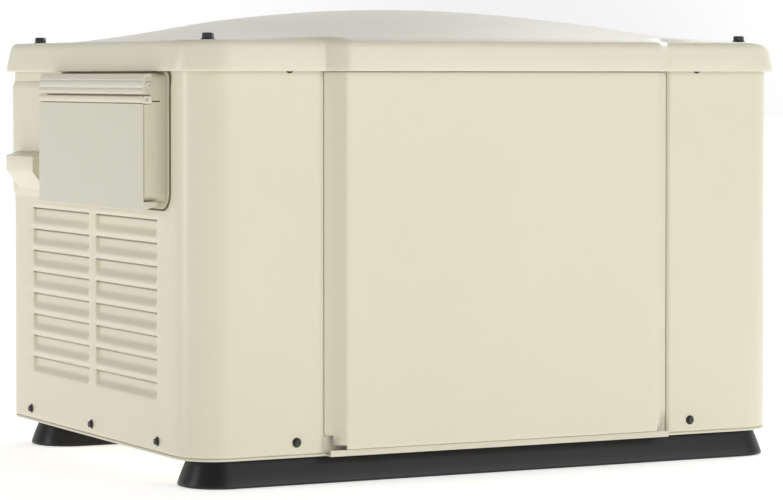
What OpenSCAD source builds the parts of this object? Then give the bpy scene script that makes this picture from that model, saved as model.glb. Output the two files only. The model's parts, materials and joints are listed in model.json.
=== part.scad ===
// Home standby generator: weatherproof enclosure, air-cooled engine and alternator.
// Millimetres, +Z up, front faces -Y, control side faces -X, ground at Z = 0.

/* [Enclosure] */
// Width of the enclosure body along the front
body_w = 870; // [868:1:876]
// Depth of the enclosure body
body_d = 668; // [666:1:674]
// Radius of the vertical body corners
corner_r = 56; // [50:1:60]
// Sheet thickness of the panels
sheet_t = 1.6; // [1.2:0.1:1.8]
// How far the front access panel stands proud
bulge = 18; // [12:1:20]
// Height of the plastic skids
skid_h = 34.5; // [34.5, 34.6]

/* [Lid] */
// Skirt overhang beyond the body at its bottom
skirt_out = 11.5; // [10:0.5:12]
// Rise of the crown above the platform
crown_h = 46; // [40:1:48]

/* [Louvres] */
// Louvres in each column
louvre_n = 8; // [4:1:8]
// Vertical pitch of the louvres
louvre_pitch = 29.5; // [26:0.5:29.5]
// Depth each louvre is pressed inward
louvre_deep = 9; // [5:0.5:10]

/* [Anchors] */
// Distance of the anchor holes from the middle along the width
anchor_x = 388; // [384:1:390]
// Distance of the anchor holes from the middle along the depth
anchor_y = 253; // [245:1:260]
// Diameter of the anchor holes
anchor_d = 11; // [9:0.5:12]

/* [Engine] */
// Height of the crankshaft above the ground
shaft_z = 200; // [198:1:202]
// Number of cooling fins on the cylinder
fin_n = 9; // [5:1:9]
// Number of blades on the flywheel fan
blade_n = 18; // [10:1:22]

/* [Hidden] */
hx = body_w/2;
hy = body_d/2;
z_b = skid_h;
z_sk = 520.5;
z_pl = 560;
ya = 20;
lxb = hx - 40.5;
lyb = hy - 40.5;
crown_R = (352*352 + crown_h*crown_h)/(2*crown_h);

module rbox(w, d, z0, z1, r) {
  translate([-(w/2 - r), -d/2, z0]) cube([w - 2*r, d, z1 - z0]);
  translate([-w/2, -(d/2 - r), z0]) cube([w, d - 2*r, z1 - z0]);
  for (x = [-1, 1], y = [-1, 1]) translate([x*(w/2 - r), y*(d/2 - r), z0]) cylinder(r = r, h = z1 - z0, $fn = 64);
}
// Body outline grown by o
module body(o, z0, z1) { rbox(body_w + 2*o, body_d + 2*o, z0, z1, corner_r + o); }
module ring(o1, o2, z0, z1) {
  difference() { body(o1, z0, z1); body(o2, z0 - 1, z1 + 1); }
}
module box(x0, x1, y0, y1, z0, z1) { translate([x0, y0, z0]) cube([x1 - x0, y1 - y0, z1 - z0]); }
module xcyl(x0, x1, y, z, r) { translate([x0, y, z]) rotate([0, 90, 0]) cylinder(r = r, h = x1 - x0, $fn = 48); }
module ycyl(y0, y1, x, z, r) { translate([x, y1, z]) rotate([90, 0, 0]) cylinder(r = r, h = y1 - y0, $fn = 48); }
module zcyl(z0, z1, x, y, r) { translate([x, y, z0]) cylinder(r = r, h = z1 - z0, $fn = 48); }
// Profile given in X-Z, drawn out along Y
module yprof(y0, y1, pts) { translate([0, y1, 0]) rotate([90, 0, 0]) linear_extrude(y1 - y0) polygon(pts); }

// Body outline with the proud front section
module outline(o, z0, z1) {
  body(o, z0, z1);
  translate([0, 0, z0]) linear_extrude(z1 - z0) polygon([[-252 - 0.4*o, -300], [-252 - 0.4*o, -(hy + o - 0.5)], [-229 - 0.4*o, -(hy + bulge + o)], [229 + 0.4*o, -(hy + bulge + o)], [252 + 0.4*o, -(hy + o - 0.5)], [252 + 0.4*o, -300]]);
}
module crown(o, dz) {
  n = 10;
  intersection() {
    outline(o, z_pl - 14, z_pl + 60);
    translate([-500, 0, z_pl + crown_h - crown_R - dz]) rotate([0, 90, 0]) cylinder(r = crown_R, h = 1000, $fn = 200);
    yprof(-400, 400, concat([[-382 + dz, z_pl - 20], [-382 + dz, z_pl - dz]],
      [for (i = [-n:n]) [i*235/n, z_pl + crown_h - dz - 16*(i/n)*(i/n)]],
      [[382 - dz, z_pl - dz], [382 - dz, z_pl - 20]]));
  }
}

module lid() {
  color([0.86, 0.84, 0.76]) difference() {
    union() { outline(skirt_out, z_sk, z_pl - 8); outline(5, z_pl - 9, z_pl); crown(5, 0); }
    outline(skirt_out - 2.5, z_sk - 1, z_pl - 10.5);
    outline(2.5, z_pl - 12, z_pl - 2.5);
    crown(2, 2.5);
    for (x = [-1, 1], y = [-1, 1]) zcyl(z_pl - 6, z_pl + 4, x*lxb, y*lyb, 3.4);
  }
}
module lid_seal() { color([0.1, 0.1, 0.1]) ring(-15, -27, 550.05, 557.3); }
module lid_bolts() {
  color([0.07, 0.07, 0.08]) for (x = [-1, 1], y = [-1, 1]) translate([x*lxb, y*lyb, 0]) {
    translate([0, 0, z_pl + 0.05]) cylinder(r = 9.5, h = 2, $fn = 48);
    translate([0, 0, z_pl + 1]) cylinder(r = 7.6, h = 8, $fn = 6);
    translate([0, 0, z_pl - 28]) cylinder(r = 3, h = 29.5, $fn = 32);
  }
}

module side_shell() {
  difference() {
    union() {
      difference() { ring(0, -sheet_t, z_b + 3.5, 549); box(-254, 500, -400, 400, 0, 600); }
      box(-256, -245.5, -hy, -hy + sheet_t, z_b + 3.5, 58);
      box(-256, -245.5, hy - sheet_t, hy, z_b + 3.5, 58);
    }
    for (s = [-1, 1]) {
      for (y = [-1, 1]) { ycyl(y*hy - 5, y*hy + 5, -291.5, 53.5, 2.7); ycyl(y*hy - 5, y*hy + 5, -301, 524, 2.7); }
      xcyl(-hx - 5, -hx + 5, s*225, 51.5, 2.7);
      xcyl(-hx - 5, -hx + 5, s*218, up_z(s), 2.7);
    }
    xcyl(-hx - 5, -hx + 5, 0, 51.5, 2.7);
  }
}
module louvre(y0, y1, zt) {
  yprof(y0, y1, [[-hx, zt - 21], [-hx + louvre_deep, zt - 1.5], [-hx + louvre_deep + 1.3, zt - 1.5], [-hx + sheet_t, zt - 22.5], [-hx, zt - 22.5]]);
  for (y = [y0, y1 - 1.2]) yprof(y, y + 1.2, [[-hx + 0.2, zt - 21.5], [-hx + 0.2, zt + 0.8], [-hx + 1.4, zt + 0.8], [-hx + louvre_deep + 1.2, zt - 1.6], [-hx + louvre_deep, zt - 1.6]]);
}
cols = [[-225, -15], [7, 218]];
module left_side_panel() {
  color([0.86, 0.84, 0.76]) union() {
    difference() {
      side_shell();
      box(-hx - 5, -hx + 5, -261, 108, 344.5, 515);
      box(-hx - 5, -hx + 5, 165, 245, 370, 400);
      for (c = cols, i = [0:louvre_n - 1]) box(-hx - 5, -hx + 5, c[0], c[1], 332.5 - i*louvre_pitch - 22, 332.5 - i*louvre_pitch);
    }
    for (c = cols, i = [0:louvre_n - 1]) louvre(c[0], c[1], 332.5 - i*louvre_pitch);
  }
}
module right_side_panel() {
  color([0.86, 0.84, 0.76]) difference() {
    mirror([1, 0, 0]) side_shell();
    box(hx - 5, hx + 5, -130, 130, 250, 410);
    for (i = [0:7], c = [-1, 1]) box(hx - 5, hx + 5, c*110 - 75, c*110 + 75, 90 + i*14, 95 + i*14);
  }
}
module front_panel() {
  b = hy + bulge;
  color([0.86, 0.84, 0.76]) difference() {
    translate([0, 0, 43]) linear_extrude(520.1 - 43) polygon([[-252, -hy + 1.8], [-252, -hy], [-229, -b], [229, -b], [252, -hy], [252, -hy + 1.8], [250.2, -hy + 1.8], [250.2, -hy + 0.9], [228.3, -b + 2], [-228.3, -b + 2], [-250.2, -hy + 0.9], [-250.2, -hy + 1.8]]);
    for (s = [-1, 1]) { box(s*250 - 6.5, s*250 + 6.5, -400, -300, 40, 60.5); box(s*250 - 20.5, s*250 + 20.5, -400, -300, 40, 48.5); }
  }
}
module rear_panel() {
  color([0.86, 0.84, 0.76]) difference() {
    box(-252, 252, hy - sheet_t, hy, 60.5, 549);
    ycyl(hy - 5, hy + 5, 0, 140, 18.3);
    for (x = [-180, -120]) ycyl(hy - 5, hy + 5, x, 130, 14.1);
    for (i = [0:7]) box(60, 210, hy - 5, hy + 5, 300 + i*16, 305 + i*16);
  }
}
module base_pan() {
  color([0.84, 0.82, 0.74]) difference() {
    union() {
      body(-0.4, z_b, z_b + 2.8);
      ring(-2.1, -3.9, z_b, 60);
      box(-250, 250, -hy - 13, -hy + 5, z_b, z_b + 2.8);
      box(-250, 250, -hy - 13, -hy - 11.4, z_b, 42.3);
    }
    for (x = [-1, 1], y = [-1, 1]) zcyl(z_b - 1, z_b + 4, x*anchor_x, y*anchor_y, anchor_d/2);
    for (x = [-1, 1], y = [-1, 1]) { ycyl(y*hy - 8, y*hy + 8, x*291.5, 53.5, 2.5); xcyl(x*hx - 8, x*hx + 8, y*225, 51.5, 2.5); xcyl(x*hx - 8, x*hx + 8, 0, 51.5, 2.5); }
    box(245, 405, -60, 60, z_b - 1, z_b + 4);
  }
}
module skid(ya, yb, s) {
  difference() {
    hull() for (x = [-1, 1], y = [ya + 50, yb - 50]) translate([x*378, y, 0]) cylinder(r1 = 50, r2 = 38, h = skid_h, $fn = 32);
    for (x = [-1, 1]) zcyl(-1, skid_h + 1, x*anchor_x, s*anchor_y, anchor_d/2);
  }
}
module front_skid() { color([0.06, 0.06, 0.07]) skid(-336, -231, -1); }
module rear_skid() { color([0.06, 0.06, 0.07]) skid(181, 286, 1); }

function up_z(y) = y > 0 ? 528 : 524;   // the rear upper side screws hide behind the lid's skirt
module screw() {
  translate([0, 0, 0.05]) cylinder(r = 6.2, h = 1.2, $fn = 32);
  translate([0, 0, 1]) cylinder(r = 4.4, h = 3.6, $fn = 6);
  translate([0, 0, -9]) cylinder(r = 2.4, h = 10, $fn = 24);
}
module panel_screws_lower() {
  color([0.08, 0.08, 0.09]) {
    for (x = [-1, 1]) { translate([x*291.5, -hy, 53.5]) rotate([90, 0, 0]) screw(); translate([x*291.5, hy, 53.5]) rotate([-90, 0, 0]) screw(); }
    for (y = [-225, 0, 225]) { translate([-hx, y, 51.5]) rotate([0, -90, 0]) screw(); translate([hx, y, 51.5]) rotate([0, 90, 0]) screw(); }
  }
}
module panel_screws_upper() {
  color([0.08, 0.08, 0.09]) {
    for (x = [-1, 1]) { translate([x*301, -hy, 524]) rotate([90, 0, 0]) screw(); translate([x*301, hy, 524]) rotate([-90, 0, 0]) screw(); }
    for (y = [-218, 218]) { translate([-hx, y, up_z(y)]) rotate([0, -90, 0]) screw(); translate([hx, y, up_z(y)]) rotate([0, 90, 0]) screw(); }
  }
}

module control_housing() {
  color([0.72, 0.70, 0.60]) difference() {
    union() {
      box(-465.8, -393, -256.5, 104, 350, 479.5);
      box(-457.6, -393, -256.5, 104, 479, 491);
      yprof(-256.5, 104, [[-462, 490.6], [-468, 496.6], [-468, 509], [-464, 513.5], [-393, 513.5], [-393, 490.6]]);
      intersection() { ring(3, 0.3, 348, 502); box(-450, -385, 98, 350, 340, 510); }
      for (y = [-264, 104.2]) box(-467.5, -440, y - 0.2, y + 7.5, 478, 489.5);
    }
    box(-480, -396, -252, 100, 358, 475.5);
    box(-480, -420, 167, 243, 372, 398);
    ycyl(-270, 120, -463.5, 484.5, 2.5);
    for (z = [497, 501, 505]) box(-470, -467, -260, 110, z, z + 1.6);
  }
}
module housing_gasket() {
  color([0.12, 0.12, 0.12]) difference() {
    box(-hx - 1.5, -hx - 0.05, -268, 97.5, 341, 515.4);
    box(-hx - 5, -hx + 5, -256.9, 104.5, 349.6, 513.9);
  }
}
module control_flap() {
  color([0.80, 0.81, 0.74]) difference() {
    union() {
      box(-469, -466.2, -256, 103.5, 352, 484.5);
      ycyl(-256, 103.5, -463.5, 484.5, 5);
      box(-469, -458, -256, 103.5, 345.6, 349.6);
      box(-469, -466.2, -256, 103.5, 345.6, 353);
    }
    ycyl(-270, 120, -463.5, 484.5, 2.56);
  }
}
module flap_hinge_pin() { color([0.6, 0.6, 0.6]) ycyl(-266, 113.5, -463.5, 484.5, 2.49); }
module conduit_hood() {
  color([0.80, 0.78, 0.69]) difference() {
    yprof(153, 257, [[-438.35, 358], [-438.35, 410], [-442, 410], [-460, 404], [-460, 383], [-440, 358]]);
    yprof(156, 254, [[-437, 340], [-437, 406], [-441, 406], [-457, 401], [-457, 340]]);
  }
}

module controller_module() {
  color([0.16, 0.17, 0.18]) difference() {
    box(-426, -396.3, -242, -62, 366, 468);
    box(-430, -424, -222, -142, 415, 452);
    for (i = [0:2]) xcyl(-430, -416, -215 + i*32, 388, 9.2);
  }
}
module display_window() { color([0.45, 0.55, 0.35]) box(-426, -424.1, -221.5, -142.5, 415.5, 451.5); }
module key(i) { xcyl(-430, -419.5, -215 + i*32, 388, 9); }
module key_off() { color([0.75, 0.1, 0.1]) key(0); }
module key_manual() { color([0.85, 0.7, 0.1]) key(1); }
module key_auto() { color([0.15, 0.6, 0.2]) key(2); }
module breaker_body() {
  color([0.09, 0.09, 0.1]) difference() {
    box(-432, -396.3, 10, 62, 368, 466);
    box(-440, -414, 28, 44, 398, 436);
  }
}
module breaker_toggle() {
  color([0.05, 0.05, 0.05]) union() { ycyl(28.6, 43.4, -421, 417, 5); box(-444, -421, 30, 42, 413.5, 420.5); }
}
module fuse_holder() {
  color([0.1, 0.1, 0.1]) difference() { xcyl(-412, -396.3, -25, 440, 11); xcyl(-413, -400, -25, 440, 8); }
}
module fuse_cap() { color([0.2, 0.2, 0.2]) union() { xcyl(-410, -401, -25, 440, 7.9); xcyl(-422, -412.3, -25, 440, 9.5); xcyl(-413, -409, -25, 440, 6); } }
module status_lenses() { color([0.8, 0.3, 0.2]) for (i = [0:2]) xcyl(-429, -426.05, -115 + i*18, 440, 4); }

module top_frame() {
  color([0.5, 0.5, 0.5]) difference() {
    union() { ring(-2.1, -3.9, 505, 550); difference() { body(-2.1, 548.2, 550); box(-375, 375, -274, 274, 547, 551); } }
    for (x = [-1, 1], y = [-1, 1]) zcyl(540, 560, x*lxb, y*lyb, 3.4);
    for (x = [-1, 1], y = [-1, 1]) { ycyl(y*hy - 8, y*hy + 8, x*301, 524, 2.5); xcyl(x*hx - 8, x*hx + 8, y*218, up_z(y), 2.5); }
    box(-440, -420, -262, 110, 500, 514.5);
  }
}
module door_posts() {
  color([0.5, 0.5, 0.5]) for (x = [-1, 1], y = [-1, 1]) {
    box(x*273 - 37, x*273 + 37, y*(hy - 3) - 0.9, y*(hy - 3) + 0.9, 60.2, 504.8);
    box(x*237 - 0.9, x*237 + 0.9, y*(hy - 8) - 5.9, y*(hy - 8) + 5.9, 60.2, 504.8);
  }
}
module divider_baffle() {
  color([0.6, 0.6, 0.6]) difference() {
    union() { box(225, 226.6, -300, 300, 37.35, 500); box(205, 226.6, -312, 312, 37.35, 39); }
    xcyl(220, 230, ya, 412, 22);
    xcyl(220, 230, ya, shaft_z, 80);
  }
}
module engine_cradle() {
  color([0.15, 0.15, 0.16]) union() {
    for (y = [-60, 80]) box(-260, 190, y, y + 30, 62.2, 80);
    for (x = [-250, 150]) box(x, x + 30, -60, 110, 62.2, 80);
  }
}
module rubber_mounts() {
  color([0.05, 0.05, 0.05]) for (x = [-235, 165], y = [-45, 95]) zcyl(37.35, 62.15, x, y, 16);
}
module crankcase() {
  color([0.62, 0.63, 0.65]) difference() {
    union() { box(-240, -40, -80, 120, 80.05, 290); zcyl(280, 292, -140, ya, 60); xcyl(-40.5, -20.3, ya, shaft_z, 104); }
    box(-232, -48, -72, 112, 92, 282);
    zcyl(270, 300, -140, ya, 42);
    xcyl(-245, -225, ya, shaft_z, 26.05);
    xcyl(-50, -39, ya, shaft_z, 26.05);
    xcyl(-40, -15, ya, shaft_z, 98);
  }
}
module cylinder_barrel() {
  color([0.62, 0.63, 0.65]) difference() {
    union() { zcyl(292.05, 395, -140, ya, 50); for (i = [0:fin_n - 1]) zcyl(300 + i*10.5, 302.5 + i*10.5, -140, ya, 74); }
    zcyl(285, 400, -140, ya, 41);
  }
}
module cylinder_head() {
  color([0.62, 0.63, 0.65]) difference() {
    union() { box(-190, -90, -30, 70, 395.05, 430); for (i = [0:3]) box(-212, -68, -52, 92, 397 + i*9, 399.5 + i*9); box(-90, -65, 2, 38, 396, 428); box(-160, -120, -55, -30, 396, 428); box(-155, -125, 70, 95, 398, 426); }
    xcyl(-80, -60, ya, 412, 12);
    ycyl(-60, -40, -140, 412, 12);
    ycyl(80, 100, -140, 412, 7.05);
  }
}
module valve_cover() {
  color([0.12, 0.12, 0.13]) translate([-140, ya, 0]) union() { rbox(110, 96, 430.05, 436, 14); rbox(100, 86, 435, 466, 18); zcyl(465, 472, 20, 0, 12); }
}
module main_bearings() {
  color([0.7, 0.7, 0.72]) for (x = [-240, -48]) difference() { xcyl(x, x + 8, ya, shaft_z, 26); xcyl(x - 1, x + 9, ya, shaft_z, 15.05); }
}
module crankshaft() {
  color([0.55, 0.55, 0.57]) union() {
    xcyl(-332, -160, ya, shaft_z, 15); xcyl(-120, 176, ya, shaft_z, 15);
    for (x = [-162, -128]) { xcyl(x, x + 10, ya, shaft_z, 38); box(x, x + 10, ya - 20, ya + 20, shaft_z, shaft_z + 48); }
    xcyl(-155, -125, ya, shaft_z + 30, 14);
  }
}
module flywheel_fan() {
  color([0.3, 0.3, 0.32]) difference() {
    union() {
      xcyl(-290, -276, ya, shaft_z, 100);
      xcyl(-318, -289, ya, shaft_z, 34);
      for (i = [0:blade_n - 1]) translate([-312, ya, shaft_z]) rotate([i*360/blade_n, 0, 0]) translate([0, -1.5, 58]) cube([23, 3, 38]);
    }
    xcyl(-320, -270, ya, shaft_z, 15.02);
  }
}
module blower_housing() {
  color([0.1, 0.1, 0.11]) difference() {
    union() { xcyl(-328, -240.4, ya, shaft_z, 112); box(-300, -241, -65, 105, 290, 302); }
    xcyl(-325.5, -243, ya, shaft_z, 109.5);
    xcyl(-335, -320, ya, shaft_z, 60);
    xcyl(-250, -235, ya, shaft_z, 28);
    box(-290, -250, -40, 80, 280, 310);
  }
}
module stator() {
  color([0.35, 0.36, 0.38]) difference() {
    union() { xcyl(-20, 130, ya, shaft_z, 104); for (x = [0, 90]) box(x, x + 24, -58, 98, 80.05, 130); }
    xcyl(-25, 135, ya, shaft_z, 72);
  }
}
module rotor() {
  color([0.5, 0.32, 0.18]) difference() {
    union() { xcyl(-10, 118, ya, shaft_z, 71); xcyl(118, 126, ya, shaft_z, 66); }
    xcyl(-15, 130, ya, shaft_z, 15.02);
  }
}
module end_bell() {
  color([0.62, 0.63, 0.65]) difference() {
    union() { xcyl(130.05, 165, ya, shaft_z, 104); xcyl(164, 180, ya, shaft_z, 40); }
    xcyl(129, 159, ya, shaft_z, 97);
    xcyl(150, 178, ya, shaft_z, 15.05);
    for (i = [0:5]) translate([155, ya, shaft_z]) rotate([i*60, 0, 0]) translate([0, 55, 0]) rotate([0, 90, 0]) cylinder(r = 12, h = 20, $fn = 32);
  }
}
module starter_motor() {
  color([0.14, 0.14, 0.15]) union() { xcyl(-230, -90, 162, 150, 34); xcyl(-91, -80, 162, 150, 26); xcyl(-200, -130, 162, 198, 15); box(-200, -170, 120.05, 150, 130, 175); box(-190, -160, 150, 174, 160, 200); }
}
module oil_filter() {
  color([0.85, 0.82, 0.2]) union() { ycyl(-150, -82, -90, 150, 36); ycyl(-82, -80.05, -90, 150, 30); ycyl(-156, -150, -90, 150, 28); }
}
module oil_fill_tube() {
  color([0.12, 0.12, 0.12]) difference() {
    union() { zcyl(120, 306, -222, -98, 10); box(-232, -212, -98, -80.05, 122, 142); box(-230, -214, -98, -80.05, 240, 256); }
    zcyl(126, 310, -222, -98, 7);
  }
}
module dipstick() {
  color([0.85, 0.7, 0.1]) union() { zcyl(140, 310, -222, -98, 2.5); zcyl(298, 308, -222, -98, 6.9); zcyl(306.1, 324, -222, -98, 13); translate([-222 - 16, -98 - 3, 316]) cube([32, 6, 14]); }
}
module gas_mixer() {
  color([0.66, 0.66, 0.68]) difference() {
    union() { ycyl(-101, -55.05, -140, 412, 17); box(-166, -114, -160, -100, 388, 436); ycyl(-104, -98, -140, 412, 26); }
    ycyl(-165, -50, -140, 412, 12);
  }
}
module air_cleaner_base() {
  color([0.1, 0.1, 0.1]) difference() { box(-215, -65, -190, -160.05, 362, 462); box(-209, -71, -195, -166, 368, 456); ycyl(-170, -155, -140, 412, 12); }
}
module air_filter() {
  color([0.85, 0.85, 0.8]) union() { box(-206, -74, -236, -190.6, 371, 453); for (i = [0:12]) box(-204 + i*10, -200 + i*10, -238, -188, 373, 451); }
}
module air_cleaner_cover() {
  color([0.1, 0.1, 0.1]) difference() { box(-215, -65, -292, -190.05, 362, 462); box(-211, -69, -288, -185, 366, 458); }
}
module fuel_regulator() {
  color([0.6, 0.6, 0.62]) union() { ycyl(225, 262, 0, 300, 58); ycyl(262, 275, 0, 300, 40); box(-32, 32, 232, 276, 178, 246); zcyl(355, 366, 0, 242, 12); box(-40, 40, 276, 312, 292, 300); box(-40, 40, 310, 330.05, 230, 300); box(-10, 10, 240, 311, 240, 260); }
}
module fuel_inlet() {
  color([0.75, 0.65, 0.3]) difference() {
    union() { ycyl(290, 342, 0, 140, 14); ycyl(334.05, 337, 0, 140, 24); ycyl(328, 332.3, 0, 140, 24); zcyl(139, 178.05, 0, 296, 10); box(-9, 9, 268, 300, 164, 178); box(-9,9,262,272,164,178); }
    ycyl(328, 343, 0, 140, 9.2);
  }
}
module fuel_hose() {
  color([0.06, 0.06, 0.06]) union() {
    zcyl(366.05, 492, 0, 242, 8); translate([0, 242, 492]) sphere(r = 8.7, $fn = 32);
    ycyl(-130, 242, 0, 492, 8); translate([0, -130, 492]) sphere(r = 8.7, $fn = 32);
    zcyl(412, 492, 0, -130, 8); translate([0, -130, 412]) sphere(r = 8.7, $fn = 32);
    xcyl(-113.95, 0, -130, 412, 8);
  }
}
module muffler() {
  color([0.55, 0.53, 0.5]) difference() {
    union() { ycyl(-190, 190, 330, 330, 68); for (y = [-192, 186]) ycyl(y, y + 6, 330, 330, 71); xcyl(385, 420, 0, 330, 22); zcyl(395, 408, 330, ya, 24); for (y = [-150, 140]) box(300, 360, y, y + 6, 37.35, 270); }
    xcyl(395, 425, 0, 330, 19);
    zcyl(390, 410, 330, ya, 12);
  }
}
module exhaust_pipe() {
  color([0.45, 0.4, 0.36]) difference() {
    union() { xcyl(-64.95, 330, ya, 412, 16); zcyl(408.05, 426, 330, ya, 19); translate([330, ya, 412]) sphere(r = 18, $fn = 32); xcyl(-64.95, -60, ya, 412, 17.5); }
    box(300, 360, -10, 50, 380, 408.05);
    xcyl(-70, 330, ya, 412, 12);
    zcyl(400, 412, 330, ya, 11.5);
  }
}
module exhaust_grille() {
  color([0.25, 0.25, 0.26]) difference() {
    union() { box(hx - 6, hx + 3, -128, 128, 252, 408); box(hx + 0.1, hx + 3, -140, 140, 240, 420); }
    for (i = [0:9]) box(hx - 10, hx + 10, -120, 120, 259 + i*15, 266 + i*15);
    box(hx - 8, hx - 1, -124, 124, 256, 404);
  }
}
module battery() {
  color([0.1, 0.1, 0.11]) union() { box(-375, -178, -312, -180, 42.2, 200); box(-377, -176, -314, -178, 196, 226); for (x = [-355, -198]) zcyl(226, 240, x, -200, 8); }
}
module battery_tray() {
  color([0.15, 0.15, 0.15]) union() {
    difference() { box(-381, -172, -318, -174, 37.35, 60); box(-378.5, -174.5, -315.5, -176.5, 42, 65); }
    difference() { box(-288, -266, -318, -174, 55, 230); box(-290, -264, -315.5, -176.5, 50, 227.5); }
  }
}
module ignition_set() {
  color([0.12, 0.12, 0.12]) union() {
    ycyl(81, 150, -140, 412, 7); ycyl(95.05, 150, -140, 412, 11);
    translate([-140, 145, 412]) sphere(r = 12.5, $fn = 32);
    zcyl(290, 412, -140, 145, 4); box(-165, -115, 120.05, 160, 235, 292);
  }
}

lid();
lid_seal();
lid_bolts();
left_side_panel();
right_side_panel();
front_panel();
rear_panel();
base_pan();
front_skid();
rear_skid();
panel_screws_lower();
panel_screws_upper();
control_housing();
housing_gasket();
control_flap();
flap_hinge_pin();
conduit_hood();
controller_module();
display_window();
key_off();
key_manual();
key_auto();
breaker_body();
breaker_toggle();
fuse_holder();
fuse_cap();
status_lenses();
top_frame();
door_posts();
divider_baffle();
engine_cradle();
rubber_mounts();
crankcase();
cylinder_barrel();
cylinder_head();
valve_cover();
main_bearings();
crankshaft();
flywheel_fan();
blower_housing();
stator();
rotor();
end_bell();
starter_motor();
oil_filter();
oil_fill_tube();
dipstick();
air_cleaner_base();
air_filter();
air_cleaner_cover();
gas_mixer();
fuel_regulator();
fuel_inlet();
fuel_hose();
muffler();
exhaust_pipe();
exhaust_grille();
battery();
battery_tray();
ignition_set();
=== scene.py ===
import bpy, bmesh, math, json
from mathutils import Vector, Matrix


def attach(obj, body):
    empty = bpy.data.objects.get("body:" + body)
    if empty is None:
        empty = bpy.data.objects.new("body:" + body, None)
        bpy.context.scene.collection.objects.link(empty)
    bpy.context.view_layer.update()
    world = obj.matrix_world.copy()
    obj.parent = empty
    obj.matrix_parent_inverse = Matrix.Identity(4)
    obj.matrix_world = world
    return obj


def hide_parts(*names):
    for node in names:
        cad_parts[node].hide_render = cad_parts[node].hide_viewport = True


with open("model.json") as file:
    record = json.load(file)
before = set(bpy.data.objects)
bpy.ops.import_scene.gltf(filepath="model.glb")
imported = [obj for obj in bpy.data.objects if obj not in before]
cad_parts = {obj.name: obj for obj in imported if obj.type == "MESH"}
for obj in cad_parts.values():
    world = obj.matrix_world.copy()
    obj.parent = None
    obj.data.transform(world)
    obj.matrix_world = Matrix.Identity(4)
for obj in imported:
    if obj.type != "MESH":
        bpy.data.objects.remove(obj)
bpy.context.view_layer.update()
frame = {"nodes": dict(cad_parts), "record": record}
NODES = frame["nodes"]
S = 0.001
pi = math.pi
scene = bpy.context.scene

# ------------------------------------------------------------------ materials
def new_mat(name):
    m = bpy.data.materials.new(name)
    m.use_nodes = True
    nt = m.node_tree
    nt.nodes.clear()
    out = nt.nodes.new("ShaderNodeOutputMaterial")
    b = nt.nodes.new("ShaderNodeBsdfPrincipled")
    nt.links.new(b.outputs[0], out.inputs[0])
    return m, nt, b

def noise(nt, vec, scale, detail=3, rough=0.5, stretch=None):
    n = nt.nodes.new("ShaderNodeTexNoise")
    n.inputs["Scale"].default_value = scale
    n.inputs["Detail"].default_value = detail
    n.inputs["Roughness"].default_value = rough
    if stretch:
        mp = nt.nodes.new("ShaderNodeMapping")
        mp.inputs["Scale"].default_value = stretch
        nt.links.new(vec, mp.inputs["Vector"])
        vec = mp.outputs[0]
    nt.links.new(vec, n.inputs["Vector"])
    return n

def remap(nt, sock, a, b, lo, hi):
    r = nt.nodes.new("ShaderNodeMapRange")
    r.inputs["From Min"].default_value = a
    r.inputs["From Max"].default_value = b
    r.inputs["To Min"].default_value = lo
    r.inputs["To Max"].default_value = hi
    nt.links.new(sock, r.inputs["Value"])
    return r.outputs["Result"]

def mixcol(nt, fac, c1, c2, mode="MIX"):
    m = nt.nodes.new("ShaderNodeMix")
    m.data_type = "RGBA"
    m.blend_type = mode
    nt.links.new(fac, m.inputs["Factor"])
    for k, c in ((6, c1), (7, c2)):
        if isinstance(c, (tuple, list)):
            m.inputs[k].default_value = (*c[:3], 1)
        else:
            nt.links.new(c, m.inputs[k])
    return m.outputs[2]

def surface(name, col, rough, metal=0.0, var=0.06, grain=900, bump=0.05, bump_d=0.0004, spec=0.5, coat=0.0, big=6, edge_highlight=None, stretch=None, rvar=0.06):
    """Colour that drifts a little over the piece, uneven gloss, and fine relief."""
    m, nt, b = new_mat(name)
    tc = nt.nodes.new("ShaderNodeTexCoord")
    v = tc.outputs["Object"]
    n1 = noise(nt, v, big, 4)
    f1 = remap(nt, n1.outputs["Fac"], 0.3, 0.7, 0, 1)
    dark = [c * (1 - var) for c in col]
    light = [min(1, c * (1 + var)) for c in col]
    c = mixcol(nt, f1, dark, light)
    n2 = noise(nt, v, grain, 3, 0.6, stretch)
    c = mixcol(nt, remap(nt, n2.outputs["Fac"], 0.35, 0.65, 0.0, 1.0), c, mixcol(nt, f1, [x * (1 - var * .8) for x in dark], [x * (1 - var * .3) for x in light]))
    # painted highlight: sharp edges and corners (found by pointiness, mottled by noise) are tinted towards the given
    # lighter colour, so they read as catching the light
    if edge_highlight:
        g = nt.nodes.new("ShaderNodeNewGeometry")
        p = remap(nt, g.outputs["Pointiness"], 0.52, 0.60, 0, 0.55)
        mm = nt.nodes.new("ShaderNodeMath"); mm.operation = "MULTIPLY"
        n3 = noise(nt, v, 60, 4)
        nt.links.new(p, mm.inputs[0]); nt.links.new(remap(nt, n3.outputs["Fac"], 0.35, 0.65, 0.2, 1), mm.inputs[1])
        c = mixcol(nt, mm.outputs[0], c, edge_highlight)
    nt.links.new(c, b.inputs["Base Color"])
    n4 = noise(nt, v, 14, 5)
    nt.links.new(remap(nt, n4.outputs["Fac"], 0.3, 0.7, max(0.03, rough - rvar), rough + rvar), b.inputs["Roughness"])
    b.inputs["Metallic"].default_value = metal
    b.inputs["Specular IOR Level"].default_value = spec
    b.inputs["Coat Weight"].default_value = coat
    b.inputs["Coat Roughness"].default_value = 0.25
    bp = nt.nodes.new("ShaderNodeBump")
    bp.inputs["Strength"].default_value = bump
    bp.inputs["Distance"].default_value = bump_d
    nt.links.new(n2.outputs["Fac"], bp.inputs["Height"])
    nt.links.new(bp.outputs[0], b.inputs["Normal"])
    return m

def hexcol(r, g, b_):
    f = lambda c: (c / 255 / 12.92) if c / 255 <= 0.04045 else ((c / 255 + 0.055) / 1.055) ** 2.4
    return [f(r), f(g), f(b_)]

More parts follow.
